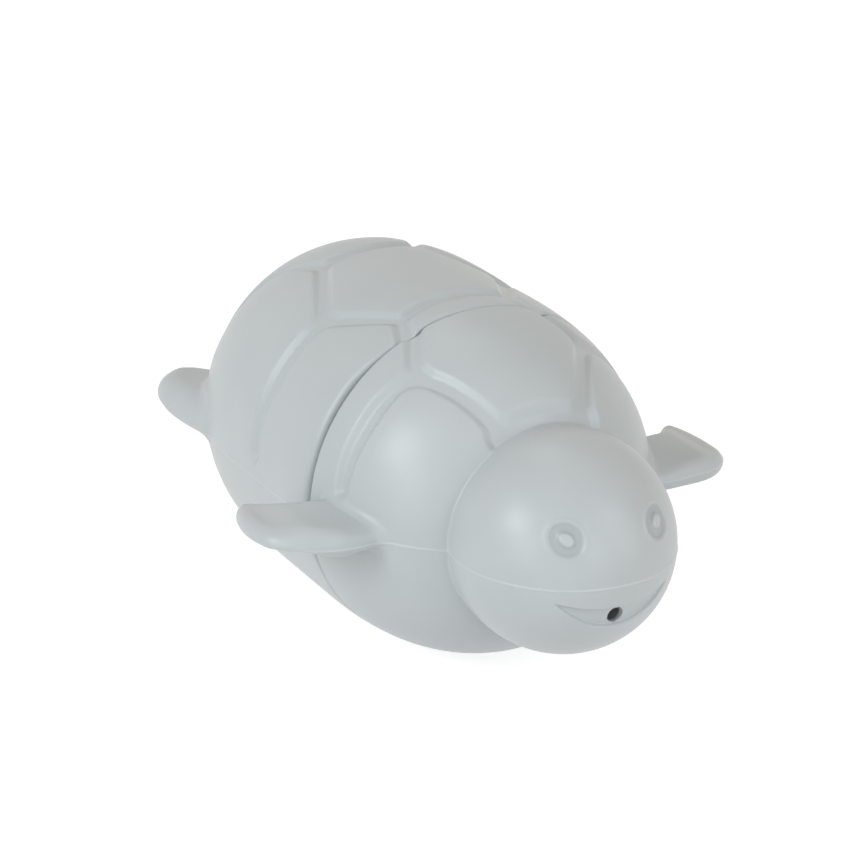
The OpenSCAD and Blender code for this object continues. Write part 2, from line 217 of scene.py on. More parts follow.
def rear_network(cells):
    d = smooth_min(groove_field(cells, REAR_SIDE), groove_field(cells, REAR_AD), 2.6)
    d = smooth_min(d, groove_field(cells, REAR_DE), 0.8)
    d = smooth_min(d, groove_field(cells, REAR_EE), 1.0)
    d = smooth_min(d, groove_field(cells, REAR_TAIL), 1.0)
    d = smooth_min(d, groove_field(cells, REAR_TOP), 0.8)
    return smooth_min(d, groove_field(cells, REAR_AB), 0.8)


front_edge, front_depth = relief_tables(-32.0, 3.0, front_network)
rear_edge, rear_depth = relief_tables(-2.0, 71.0, rear_network)


def polar(p, turned=0.0):
    """Distance from the axis, and degrees from the top of a half turned about it."""
    radius = np.hypot(p[:, 0], p[:, 2])
    turn = np.degrees(np.arctan2(p[:, 0], p[:, 2])) + turned
    return radius, np.abs((turn + 180.0) % 360.0 - 180.0)


# flippers
def plan_table(points, low, high, step=0.25):
    """Table of the signed distance to a closed outline in (x, y), negative inside."""
    ring = curve_through(points, 0.8, closed=True)
    xs, ys = np.arange(low[0], high[0], step), np.arange(low[1], high[1], step)
    xx, yy = np.meshgrid(xs, ys, indexing="ij")
    q = np.stack([xx.ravel(), yy.ravel()], -1)
    best = np.full(len(q), 1e9)
    inside = np.zeros(len(q), bool)
    for a, b in zip(ring, np.roll(ring, -1, 0)):
        ab = b - a
        t = np.clip((q - a) @ ab / (ab @ ab), 0, 1)
        best = np.minimum(best, ((q - a - t[:, None] * ab) ** 2).sum(1))
        crosses = (a[1] > q[:, 1]) != (b[1] > q[:, 1])
        with np.errstate(divide="ignore", invalid="ignore"):
            inside ^= crosses & (q[:, 0] < ab[0] * (q[:, 1] - a[1]) / ab[1] + a[0])
    d = np.sqrt(best) * np.where(inside, -1, 1)
    return Table(low, (step, step), d.reshape(xx.shape))


# Outlines of the flippers seen from above
FRONT_PLAN = [(22, -17.6), (27, -17.8), (30.6, -17.9), (34.1, -18.0), (38.1, -17.6), (42.0, -16.2),
              (44.4, -14.8), (46.8, -13.1), (49.0, -10.6), (49.8, -7.6), (50.2, -4.2), (50.0, -1.0),
              (49.4, 2.0), (48.5, 4.5), (47.2, 5.5), (45.6, 4.9), (44.2, 3.2), (42.6, 1.3),
              (41.0, -0.3), (39.0, -1.8), (36.6, -2.7), (33.5, -2.9), (29, -2.6), (22, -2.6), (19, -9)]
FAR_PLAN = (FRONT_PLAN[:5] + [(42.1, -17.1), (45.5, -16.0), (48.1, -13.9), (49.6, -11.1), (49.9, -7.7),
                              (49.9, -4.3), (49.6, -1.0), (49.1, 2.0), (48.2, 4.5)] + FRONT_PLAN[14:])
REAR_PLAN = [(22, 50.0), (29, 49.0), (34.0, 49.3), (35.3, 53.5), (36.1, 59.5), (36.3, 65.5),
             (35.9, 70.0), (34.6, 73.7), (32.0, 76.3), (29.0, 77.6), (25.7, 76.4), (23.3, 74.2),
             (21.0, 70.0), (19, 60)]
front_plan = plan_table(FRONT_PLAN, (16.0, -30.0), (60.0, 14.0))
far_plan = plan_table(FAR_PLAN, (16.0, -30.0), (60.0, 14.0))
rear_plan = plan_table(REAR_PLAN, (14.0, 42.0), (46.0, 86.0))


def wing(shore, z, edge, middle, top, under, power=2.0):
    """Field of a flipper with its heights over and under a middle.

    Its edge rounds off over a width, and starts to more softly with a power above 2.
    """
    e = np.maximum(0, 1 + shore / edge)
    h = np.where(z > middle, top, under)
    w = (z - middle) / h
    g = np.sqrt(e ** power + w * w)
    slope = np.hypot(power / 2 * e ** (power - 1) / edge, w / h) / np.maximum(g, 1e-6)
    return (g - 1) / np.maximum(slope, 0.12)


# In the photo the far front flipper droops, and the near one's tip rises
FAR_DROP, NEAR_RISE = 0.55, 0.55
FRONT_EDGE_POWER, REAR_EDGE = 2.6, 4.6


def front_flipper(p):
    """Field of both front flippers, thick at the root near the seam and thin at the tip."""
    far = p[:, 0] > 0
    x, y = np.abs(p[:, 0]), p[:, 1]
    out = smooth((x - 33.0) / 13.0)
    z = p[:, 2] + np.where(far, FAR_DROP, -NEAR_RISE * out)
    root = np.clip(4.3 + 0.17 * (y + 5.0), 1.6, 4.6)
    tip = 1.65 + 1.0 * smooth((47.5 - x) / 6.0)
    top = root * (1 - out) + tip * out - PARTING_FRONT
    root_under = np.where(far, 1.8, 1.7 + 0.9 * smooth((x - 33.0) / 4.0))
    under = root_under * (1 - out) + np.where(far, 2.3, 1.2) * out
    edge = np.where(z > PARTING_FRONT, 2.7 + 2.2 * smooth((37.5 - x) / 5.0), 3.1)
    edge += (4.2 - edge) * np.where(far, 1.0, smooth((-5.5 - y) / 6.0)) * smooth((x - 38.0) / 12.0)
    shore = np.where(far, far_plan.at(x, y), front_plan.at(x, y))
    return wing(shore, z, edge, PARTING_FRONT, top, under, FRONT_EDGE_POWER)


def rear_flipper(p):
    x, y, z = np.abs(p[:, 0]), p[:, 1], p[:, 2]
    out = smooth((y - 58.0) / 18.0)
    middle = PARTING_REAR + 0.8 + 0.5 * smooth((y - 60.0) / 16.0)
    top = 5.6 * (1 - out) + 4.1 * out
    under = 2.6 * (1 - out) + 1.6 * out
    return wing(rear_plan.at(x, y), z, REAR_EDGE, middle, top, under)


# head
def ellipsoid(p, centre, radii):
    q = (p - np.array(centre)) / np.array(radii)
    k0 = np.linalg.norm(q, axis=1)
    k1 = np.linalg.norm(q / np.array(radii), axis=1)
    return k0 * (k0 - 1) / np.maximum(k1, 1e-6)


HEAD_AT = (0.0, HEAD_Y, -0.15)
HEAD_RADII = (HEAD_R, HEAD_HALF, HEAD_R)
EYE_AT = np.array([9.35, -50.4, 8.2])
# Ovals of the eye's ring and of its pupil: tilt in degrees, then half their length and width
RING_OVAL, PUPIL_OVAL = (39, 3.45, 2.98), (36, 1.36, 1.0)
RING_SUNK, RING_RIM, PUPIL_DOME = 0.42, 0.09, 0.12
# The smile's corners, how far its two lips sag between them, its depth and its lower lip
MOUTH_HALF, MOUTH_Z = 12.3, -3.3
UPPER_SAG, LOWER_SAG = 1.95, 6.3
MOUTH_DEEP, LIP_HIGH = 1.3, 0.17
# The hole in the smile, narrow for a few mm and wider behind
HOLE_Z, HOLE_R, HOLE_NECK, BEHIND_R = -7.5, 1.55, 4.0, 2.7


def eye_frame():
    out = EYE_AT - np.array(HEAD_AT)
    out /= np.linalg.norm(out)
    side = np.cross(out, (0, 0, 1))
    side /= np.linalg.norm(side)
    return out, side, np.cross(side, out)


EYE_OUT, EYE_SIDE, EYE_UP = eye_frame()


def eye_place(p):
    """Place on the eye's own face, across and up, in mm."""
    q = np.stack([np.abs(p[:, 0]), p[:, 1], p[:, 2]], -1) - EYE_AT
    return q @ EYE_SIDE, q @ EYE_UP


def oval(u, v, tilt, half_long, half_short):
    """Share of the way from an oval's middle to its edge, tilt in degrees down towards the nose."""
    c, t = np.cos(np.radians(tilt)), np.sin(np.radians(tilt))
    return np.hypot((u * c - v * t) / half_long, (u * t + v * c) / half_short)


def eye_depth(p):
    """How deep the eye lies under the head's plain form: a sunk ring round a low dome."""
    u, v = eye_place(p)
    ring = 3.15 * oval(u, v, *RING_OVAL)
    pupil = 1.2 * oval(u, v, *PUPIL_OVAL)
    sunk = RING_SUNK * smooth(3.5 - ring) * smooth(pupil - 1.0)
    rim = RING_RIM * np.exp(-((ring - 3.65) / 0.35) ** 2)
    dome = PUPIL_DOME * np.exp(-(pupil / 1.1) ** 4)
    return np.where(p[:, 1] < HEAD_Y, sunk - rim - dome, 0.0)


def mouth_lines(p):
    """Share of the way from the smile's middle to its corner, and the heights of its lips."""
    s = np.clip(np.abs(p[:, 0]) / MOUTH_HALF, 0, 1.3)
    upper = MOUTH_Z - UPPER_SAG * (1 - s ** 2.4)
    lower = MOUTH_Z - LOWER_SAG * (1 - s ** 2)
    return s, upper, lower


def mouth_depth(p):
    """How deep the smile lies under the head's plain form, with its lower lip raised a little."""
    s, upper, lower = mouth_lines(p)
    z = p[:, 2]
    tall = np.maximum(upper - lower, 0.3)
    t = np.clip((upper - z) / tall, 0, 1)
    floor = MOUTH_DEEP * np.clip(1 - s ** 2, 0, 1) ** 0.6 * (1 - 0.45 * t)
    deep = floor * smooth((upper - z) / 0.5 + 0.3) * smooth((z - lower) / 0.7 + 0.15)
    lip = LIP_HIGH * np.exp(-((z - lower + 0.4) / 0.45) ** 2) * np.clip(1 - s ** 2, 0, 1)
    return np.where((p[:, 1] < HEAD_Y) & (s < 1), deep - lip, 0.0)


def head_distance(p):
    return ellipsoid(p, HEAD_AT, HEAD_RADII) + eye_depth(p) + mouth_depth(p)


# the two halves
# Radii where the head and the flippers meet the shell, and of the flat belly's edge
HEAD_FILLET, FRONT_FILLET, REAR_FILLET, BELLY_ROUND = 0.45, 1.6, 1.8, 1.0
SEAM_AT, SEAM_LEAN = 1.05, 0.044
# The gap at the seam and the roundness of its rear rim, and what the sides add to both
GAP, GAP_SIDES, RIM, RIM_SIDES = 0.3, 1.0, 0.6, 0.9
LINE_HIGH, LINE_WIDTH = 0.13, 0.18
# The small pit at the lower end of the rear half's side grooves
NOTCH_Y, NOTCH_TURN = 24.7, 85.6
NOTCH_DEEP, NOTCH_HALF = 0.5, 0.75
# The round plug of the front half, its two ribs, and the socket that takes it
SOCKET_R = float(body_radius(np.array(0.0))) - WALL
PLUG_R, PLUG_BORE_R, RIB_R = SOCKET_R - 0.5, SOCKET_R - 2.9, SOCKET_R - 0.12
PLUG_LEN, PLUG_ROOT = 11.0, 7.0
RIBS_AT, RIB_HALF = (4.4, 8.4), 0.85
# The squeaker's pocket behind the mouth, the lip that keeps it in and the collar round it
SQUEAKER_Y, SQUEAKER_Z = 8.4 + HEAD_TIP, -6.2
POCKET_R, POCKET_END = 7.1, SQUEAKER_Y + 9.1
LIP_T, LIP_IN, COLLAR_WALL = 1.4, 1.4, 1.8


def seam_at(z):
    """Where the front half ends: the seam leans back a little towards the belly."""
    return SEAM_AT - SEAM_LEAN * z


def parting_line(z, height):
    """Fine raised line that the mould's two parts leave."""
    return LINE_HIGH * np.exp(-((z - height) / LINE_WIDTH) ** 2)


def rear_parting(x):
    """Height of the rear half's mould line, lower at the sides than the front half's."""
    return PARTING_FRONT + (PARTING_REAR - PARTING_FRONT) * np.clip(np.abs(x) / PARTING_FALL_X, 0, 1)


def front_outside(p):
    """Outer skin of the front half, without its plug and hollows."""
    radius, turn = polar(p)
    y, z = p[:, 1], p[:, 2]
    relief = front_depth.at(y, turn) * (1 - 0.3 * smooth((y + 1.6) / 2.4))
    shell = body_distance(y, radius) + relief
    shell = cut_round(shell, y - seam_at(z), 0.3)
    whole = join_round(shell, head_distance(p), HEAD_FILLET)
    whole = join_round(whole, front_flipper(p), FRONT_FILLET)
    whole = whole - parting_line(z, PARTING_FRONT)
    return cut_round(whole, -AXIS_Z - z, BELLY_ROUND)


def front_field(p):
    radius, turn = polar(p)
    y, z = p[:, 1], p[:, 2]
    outside = front_outside(p)
    axis = np.hypot(p[:, 0], z - SQUEAKER_Z)
    head_in = ellipsoid(p, HEAD_AT, np.array(HEAD_RADII) - WALL)
    body_in = np.maximum(body_distance(y, radius, WALL), y + PLUG_ROOT)
    bore = np.maximum(radius - PLUG_BORE_R, np.maximum(y - 20, -y - PLUG_ROOT - 1))
    hollow = np.minimum(join_round(head_in, body_in, 1.5), bore)
    collar = cut_round(axis - (POCKET_R + COLLAR_WALL), y - (POCKET_END + LIP_T), 0.4)
    collar = np.maximum(collar, ellipsoid(p, HEAD_AT, np.array(HEAD_RADII) - WALL / 2))
    hollow = np.maximum(hollow, -collar)
    solid = np.maximum(outside, -hollow)
    ribs = (RIB_R - PLUG_R) * sum(np.exp(-((y - at) / RIB_HALF) ** 2) for at in RIBS_AT)
    foot = 0.4 * np.clip(1 - (y - seam_at(z)) / 0.6, 0, 1) ** 2
    tube = cut_round(radius - PLUG_R - ribs - foot, y - PLUG_LEN, 0.5)
    tube = cut_round(tube, PLUG_BORE_R - radius, 0.4)
    tube = np.maximum(tube, -y - PLUG_ROOT)
    solid = np.minimum(solid, tube)
    pocket = np.maximum(axis - POCKET_R, np.maximum(SQUEAKER_Y - y, y - POCKET_END))
    mouthpiece = np.maximum(axis - (POCKET_R - LIP_IN), SQUEAKER_Y - y)
    mouthpiece = np.maximum(mouthpiece, y - (POCKET_END + LIP_T + 1))
    to_hole = np.hypot(p[:, 0], z - HOLE_Z)
    hole = np.maximum(to_hole - HOLE_R, y - SQUEAKER_Y - 0.5)
    behind = np.maximum(to_hole - BEHIND_R, np.maximum(HEAD_TIP + HOLE_NECK - y, y - SQUEAKER_Y - 0.5))
    solid = np.maximum(solid, -np.minimum(pocket, mouthpiece))
    return cut_round(solid, -np.minimum(hole, behind), 0.15)


def rear_outside(p):
    """Outer skin of the rear half, without its hollow."""
    radius, turn = polar(p, REAR_TURN)
    y, z = p[:, 1], p[:, 2]
    shell = body_distance(y, radius) + rear_depth.at(y, turn)
    shell = join_round(shell, rear_flipper(p), REAR_FILLET)
    shell = shell - parting_line(z, rear_parting(p[:, 0]))
    away = np.hypot(y - NOTCH_Y, radius * np.radians(turn - NOTCH_TURN))
    shell = shell + NOTCH_DEEP * np.exp(-(away / NOTCH_HALF) ** 2) * (radius > 30)
    shell = cut_round(shell, -AXIS_Z - z, BELLY_ROUND)
    sides = smooth((turn - 26.0) / 22.0) * smooth((112.0 - turn) / 14.0)
    return cut_round(shell, seam_at(z) + GAP + GAP_SIDES * sides - y, RIM + RIM_SIDES * sides)


def rear_field(p):
    radius = np.hypot(p[:, 0], p[:, 2])
    y = p[:, 1]
    outside = rear_outside(p)
    socket = np.maximum(radius - SOCKET_R, y - (PLUG_LEN + 1))
    body_in = cut_round(body_distance(y, radius, WALL), PLUG_LEN - y, 0.3)
    hollow = join_round(socket, body_in, 0.3)
    return cut_round(outside, -hollow, 0.4)


# from field to mesh
def gradient(field, p, eps=0.06):
    g = np.empty_like(p)
    for i in range(3):
        step = np.zeros(3)
        step[i] = eps
        g[:, i] = (field(p + step) - field(p - step)) / (2 * eps)
    return g


def settle(field, p, rounds=2, reach=0.6):
    """Moves points onto the field's zero."""
    for _ in range(rounds):
        g = gradient(field, p)
        size = np.maximum((g * g).sum(1), 0.04)
        move = (field(p) / size)[:, None] * g
        length = np.linalg.norm(move, axis=1)[:, None]
        p = p - move * np.minimum(1, reach / np.maximum(length, 1e-9))
    return p


def net(field, low, high, h):
    """Surface net of a field over a box: points and triangles."""
    counts = [int(round((b - a) / h)) + 1 for a, b in zip(low, high)]
    axes = [a + h * np.arange(n) for a, n in zip(low, counts)]
    values = np.empty(counts)
    for i, x in enumerate(axes[0]):
        yy, zz = np.meshgrid(axes[1], axes[2], indexing="ij")
        p = np.stack([np.full(yy.size, x), yy.ravel(), zz.ravel()], -1)
        values[i] = field(p).reshape(yy.shape)
    inside = values < 0
    corner = [(i, j, k) for i in (0, 1) for j in (0, 1) for k in (0, 1)]
    n = [c - 1 for c in counts]

    def part(a, c):
        return a[c[0]:c[0] + n[0], c[1]:c[1] + n[1], c[2]:c[2] + n[2]]

    held = sum(part(inside, c).astype(np.int8) for c in corner)
    active = np.argwhere((held > 0) & (held < 8))
    index = np.full(n, -1, np.int64)
    index[tuple(active.T)] = np.arange(len(active))
    total, times = np.zeros((len(active), 3)), np.zeros(len(active))
    for a in corner:
        for axis in range(3):
            if a[axis]:
                continue
            b = list(a)
            b[axis] = 1
            va = values[tuple((active + a).T)]
            vb = values[tuple((active + b).T)]
            cross = (va < 0) != (vb < 0)
            t = np.where(cross, va / np.where(cross, va - vb, 1), 0)
            spot = np.array(a, float) + np.eye(3)[axis] * t[:, None]
            total += spot * cross[:, None]
            times += cross
    points = (active + total / times[:, None]) * h + np.array(low)
    quads = []
    for axis in range(3):
        o = [i for i in range(3) if i != axis]
        size = list(counts)
        size[axis] -= 1
        first = inside[tuple(slice(0, -1) if i == axis else slice(None) for i in range(3))]
        second = inside[tuple(slice(1, None) if i == axis else slice(None) for i in range(3))]
        at = np.argwhere(first != second)
        i, j = at[:, o[0]], at[:, o[1]]
        at = at[(i > 0) & (j > 0) & (i < n[o[0]]) & (j < n[o[1]])]
        cells = []
        for da, db in ((1, 1), (0, 1), (0, 0), (1, 0)):
            c = at.copy()
            c[:, o[0]] -= da
            c[:, o[1]] -= db
            cells.append(index[tuple(c.T)])
        q = np.stack(cells, -1)
        flip = first[tuple(at.T)] == (axis == 1)
        q[flip] = q[flip][:, ::-1]
        quads.append(q)
    q = np.concatenate(quads)
    a, b, c, d = (points[q[:, i]] for i in range(4))
    short = np.linalg.norm(a - c, axis=1) < np.linalg.norm(b - d, axis=1)
    tris = np.where(short[:, None, None],
                    np.stack([q[:, [0, 1, 2]], q[:, [0, 2, 3]]], 1),
                    np.stack([q[:, [0, 1, 3]], q[:, [1, 2, 3]]], 1)).reshape(-1, 3)
    return points, tris


def edges_of(tris):
    pairs = np.sort(np.concatenate([tris[:, [0, 1]], tris[:, [1, 2]], tris[:, [2, 0]]]), axis=1)
    key = pairs[:, 0] * (tris.max() + 1) + pairs[:, 1]
    _, first, back = np.unique(key, return_index=True, return_inverse=True)
    return pairs[first], back.reshape(3, -1).T


# An edge is split when it is this much longer than wanted
SPLIT_OVER = 1.35


def refine(field, points, tris, wanted, rounds):
    """Splits the edges that are longer than wanted and lays the new points on the surface."""
    for _ in range(rounds):
        ends, of_tri = edges_of(tris)
        a, b = points[ends[:, 0]], points[ends[:, 1]]
        middle = (a + b) / 2
        split = np.linalg.norm(a - b, axis=1) > SPLIT_OVER * wanted(middle)
        if not split.any():
            break
        number = np.full(len(ends), -1, np.int64)
        number[split] = len(points) + np.arange(split.sum())
        points = np.concatenate([points, settle(field, middle[split])])
        m = number[of_tri]
        flags = (m >= 0).astype(int)
        count = flags.sum(1)
        done = [tris[count == 0]]
        for shift in range(3):
            t, e = np.roll(tris, -shift, 1), np.roll(m, -shift, 1)
            f = e >= 0
            one = (count == 1) & f[:, 0]
            x, y = t[one], e[one]
            done += [np.stack([x[:, 0], y[:, 0], x[:, 2]], -1),
                     np.stack([y[:, 0], x[:, 1], x[:, 2]], -1)]
            two = (count == 2) & f[:, 0] & f[:, 1]
            x, y = t[two], e[two]
            done += [np.stack([y[:, 0], x[:, 1], y[:, 1]], -1),
                     np.stack([x[:, 0], y[:, 0], y[:, 1]], -1),
                     np.stack([x[:, 0], y[:, 1], x[:, 2]], -1)]
        x, y = tris[count == 3], m[count == 3]
        done += [np.stack([x[:, 0], y[:, 0], y[:, 2]], -1),
                 np.stack([y[:, 0], x[:, 1], y[:, 1]], -1),
                 np.stack([y[:, 2], y[:, 1], x[:, 2]], -1), y]
        tris = np.concatenate(done)
    return points, tris


def relax(field, points, tris, rounds=1, share=0.4):
    """Evens out the net along the surface."""
    for _ in range(rounds):
        ends, _ = edges_of(tris)
        both = np.concatenate([ends, ends[:, ::-1]])
        total = np.stack([np.bincount(both[:, 0], points[both[:, 1], i], len(points))
                          for i in range(3)], -1)
        times = np.bincount(both[:, 0], minlength=len(points))
        points = points + share * (total / np.maximum(times, 1)[:, None] - points)
        points = settle(field, points)
    return points


def front_wanted(p):
    """Length wanted for the mesh's edges, fine on the grooves, face, mould line and rims."""
    radius, turn = polar(p)
    y, z = p[:, 1], p[:, 2]
    skin = np.abs(front_outside(p)) < 0.4
    want = np.where(skin, 1.15, 2.2)
    edge = front_edge.at(y, turn)
    on_shell = skin & (radius > body_radius(y) - 2.2)
    want = np.where(on_shell & (edge > -1.8) & (edge < 1.1) & (turn < 100), 0.42, want)
    flip = (np.abs(p[:, 0]) > 30) & (front_plan.at(np.abs(p[:, 0]), y) < 2) & skin
    want = np.where(flip, np.minimum(want, 0.75), want)
    line = np.where(skin, np.abs(z - PARTING_FRONT), 9.0)
    want = np.where(line < 0.9, np.minimum(want, 0.55), want)
    want = np.where(line < 0.45, 0.26, want)
    crease = skin & (np.abs(body_distance(y, radius)) < 1.5) & (y < -24) & (y > -31)
    want = np.where(crease, np.minimum(want, 0.34), want)
    u, v = eye_place(p)
    eye = skin & (y < HEAD_Y - 8) & (np.hypot(u, v) < 4.4)
    want = np.where(eye, 0.2, want)
    s, upper, lower = mouth_lines(p)
    mouth = skin & (y < HEAD_Y - 10) & (s < 1.06) & (z < upper + 0.7) & (z > lower - 0.5)
    want = np.where(mouth, 0.3, want)
    lip = skin & (y < HEAD_Y - 10) & (s < 1.06) & (np.abs(z - upper) < 0.6)
    want = np.where(lip, 0.2, want)
    axis = np.hypot(p[:, 0], z - HOLE_Z)
    want = np.where((y < SQUEAKER_Y + 1) & (axis < 2.4), 0.24, want)
    rim = (np.abs(y - seam_at(z)) < 1.2) & (radius > SOCKET_R + 1)
    want = np.where(rim, np.minimum(want, 0.3), want)
    plug = (y > seam_at(z) + 0.4) & (radius > PLUG_R - 0.4)
    want = np.where(plug, np.minimum(want, 0.56), want)
    foot = (np.abs(y - seam_at(z)) < 0.7) & (np.abs(radius - PLUG_R) < 0.8)
    want = np.where(foot, np.minimum(want, 0.4), want)
    mouth_of_plug = (y > PLUG_LEN - 0.9) & (radius < PLUG_BORE_R + 0.8)
    inner_edge = (np.abs(y + PLUG_ROOT) < 0.7) & (np.abs(radius - PLUG_BORE_R - 0.3) < 0.8)
    return np.where(mouth_of_plug | inner_edge, np.minimum(want, 0.5), want)


def rear_wanted(p):
    """Length wanted for the mesh's edges, fine on the grooves, mould line, pit and rims."""
    radius, turn = polar(p, REAR_TURN)
    y, z = p[:, 1], p[:, 2]
    skin = np.abs(rear_outside(p)) < 0.4
    want = np.where(skin, 1.2, 2.4)
    edge = rear_edge.at(y, turn)
    on_shell = skin & (radius > body_radius(y) - 2.2)
    want = np.where(on_shell & (edge > -1.8) & (edge < 1.1) & (turn < 100), 0.45, want)
    flip = (np.abs(p[:, 0]) > 20) & (rear_plan.at(np.abs(p[:, 0]), y) < 2) & skin & (y > 45)
    want = np.where(flip, np.minimum(want, 0.9), want)
    line = np.where(skin, np.abs(z - rear_parting(p[:, 0])), 9.0)
    want = np.where(line < 0.9, np.minimum(want, 0.55), want)
    want = np.where(line < 0.45, 0.27, want)
    rim = (y < seam_at(z) + 3.4) & (radius > SOCKET_R + 0.6)
    want = np.where(rim, np.minimum(want, 0.36), want)
    socket_edge = (y < seam_at(z) + 2.0) | (np.abs(y - PLUG_LEN) < 0.8)
    socket_edge = socket_edge & (np.abs(radius - SOCKET_R - 0.1) < 0.8)
    want = np.where(socket_edge, np.minimum(want, 0.42), want)
    notch = skin & (np.hypot(y - NOTCH_Y, radius * np.radians(turn - NOTCH_TURN)) < 2)
    return np.where(notch, 0.25, want)


NET_STEP = 1.0
FRONT_BOX = ((-54.0, -58.3, -36.9), (54.0, 13.7, 37.1))
REAR_BOX = ((-40.5, -2.3, -36.9), (40.5, 79.7, 37.1))


def make_half(name, field, wanted, low, high):
    """Meshes a field within a box and gives the mesh the field's own normals."""
    points, tris = net(field, low, high, NET_STEP)
    points = settle(field, points, 3)
    points, tris = refine(field, points, tris, wanted, 3)
    points = relax(field, points, tris, 2)
    normals = gradient(field, points, 0.05)
    normals /= np.maximum(np.linalg.norm(normals, axis=1), 1e-6)[:, None]
    place = (points + np.array([0, ROW_Y, AXIS_Z])) * MM
    mesh = bpy.data.meshes.new(name)
    mesh.vertices.add(len(place))
    mesh.vertices.foreach_set("co", place.astype(np.float32).ravel())
    mesh.loops.add(tris.size)
    mesh.loops.foreach_set("vertex_index", tris.astype(np.int32).ravel())
    mesh.polygons.add(len(tris))
    mesh.polygons.foreach_set("loop_start", (3 * np.arange(len(tris))).astype(np.int32))
    mesh.polygons.foreach_set("use_smooth", np.ones(len(tris), bool))
    mesh.update(calc_edges=True)
    mesh.validate()
    mesh.normals_split_custom_set_from_vertices(normals.astype(np.float32))
    obj = bpy.data.objects.new(name, mesh)
    bpy.context.scene.collection.objects.link(obj)
    print(name, len(place), "points", len(tris), "triangles")
    return obj


front = make_half("front_shell", front_field, front_wanted, *FRONT_BOX)
rear = make_half("rear_shell", rear_field, rear_wanted, *REAR_BOX)


# materials
def new_material(name):
    m = bpy.data.materials.new(name)
    m.use_nodes = True
    return m, m.node_tree.nodes, m.node_tree.links, m.node_tree.nodes["Principled BSDF"]


def math_node(nodes, links, kind, *values):
    node = nodes.new("ShaderNodeMath")
    node.operation = kind
    for socket, value in zip(node.inputs, values):
        if isinstance(value, (int, float)):
            socket.default_value = value
        else:
            links.new(value, socket)
    return node.outputs[0]


def ramp_down(nodes, links, value, full, none):
    """1 where the value is under full, falling softly to 0 at none."""
    node = nodes.new("ShaderNodeMapRange")
    node.interpolation_type = "SMOOTHSTEP"
    links.new(value, node.inputs["Value"])
    for name, number in (("From Min", full), ("From Max", none), ("To Min", 1.0), ("To Max", 0.0)):
        node.inputs[name].default_value = number
    return node.outputs["Result"]


def dot_node(nodes, links, vector, way):
    node = nodes.new("ShaderNodeVectorMath")
    node.operation = "DOT_PRODUCT"
    links.new(vector, node.inputs[0])
    node.inputs[1].default_value = tuple(way)
    return node.outputs["Value"]


def eye_masks(nodes, links, mirrored):
    """Masks of the eyes' sunk rings and of their pupils, where shade and light are painted."""
    place = nodes.new("ShaderNodeVectorMath")
    place.operation = "SUBTRACT"
    links.new(mirrored, place.inputs[0])
    place.inputs[1].default_value = tuple((EYE_AT + np.array([0, ROW_Y, AXIS_Z])) * MM)
    near = dot_node(nodes, links, place.outputs[0], EYE_OUT)
    near = math_node(nodes, links, "GREATER_THAN", near, -0.004)
    shares = []
    for tilt, half_long, half_short in (RING_OVAL, PUPIL_OVAL):
        c, t = np.cos(np.radians(tilt)), np.sin(np.radians(tilt))
        ways = ((EYE_SIDE * c - EYE_UP * t) / (half_long * MM),
                (EYE_SIDE * t + EYE_UP * c) / (half_short * MM))
        parts = [dot_node(nodes, links, place.outputs[0], way) for way in ways]
        squares = [math_node(nodes, links, "MULTIPLY", v, v) for v in parts]
        total = math_node(nodes, links, "ADD", *squares)
        shares.append(math_node(nodes, links, "SQRT", total))
    pupil = ramp_down(nodes, links, shares[1], 0.85, 1.2)
    ring = ramp_down(nodes, links, shares[0], 0.9, 1.04)
    pupil = math_node(nodes, links, "MULTIPLY", pupil, near)
    ring = math_node(nodes, links, "MULTIPLY", ring, near)
    return math_node(nodes, links, "SUBTRACT", ring, pupil), pupil


# The silicone's two shades, and how much painted highlight pales its mould line, painted shade darkens
# its eyes' sunk rings and painted light pales their pupils
SILICONE_DARK, SILICONE_PALE = (0.487, 0.535, 0.552, 1), (0.517, 0.559, 0.576, 1)
LINE_PAINTED_HIGHLIGHT, RING_PAINTED_SHADE, PUPIL_PAINTED_LIGHT = 0.10, -0.14, 0.05


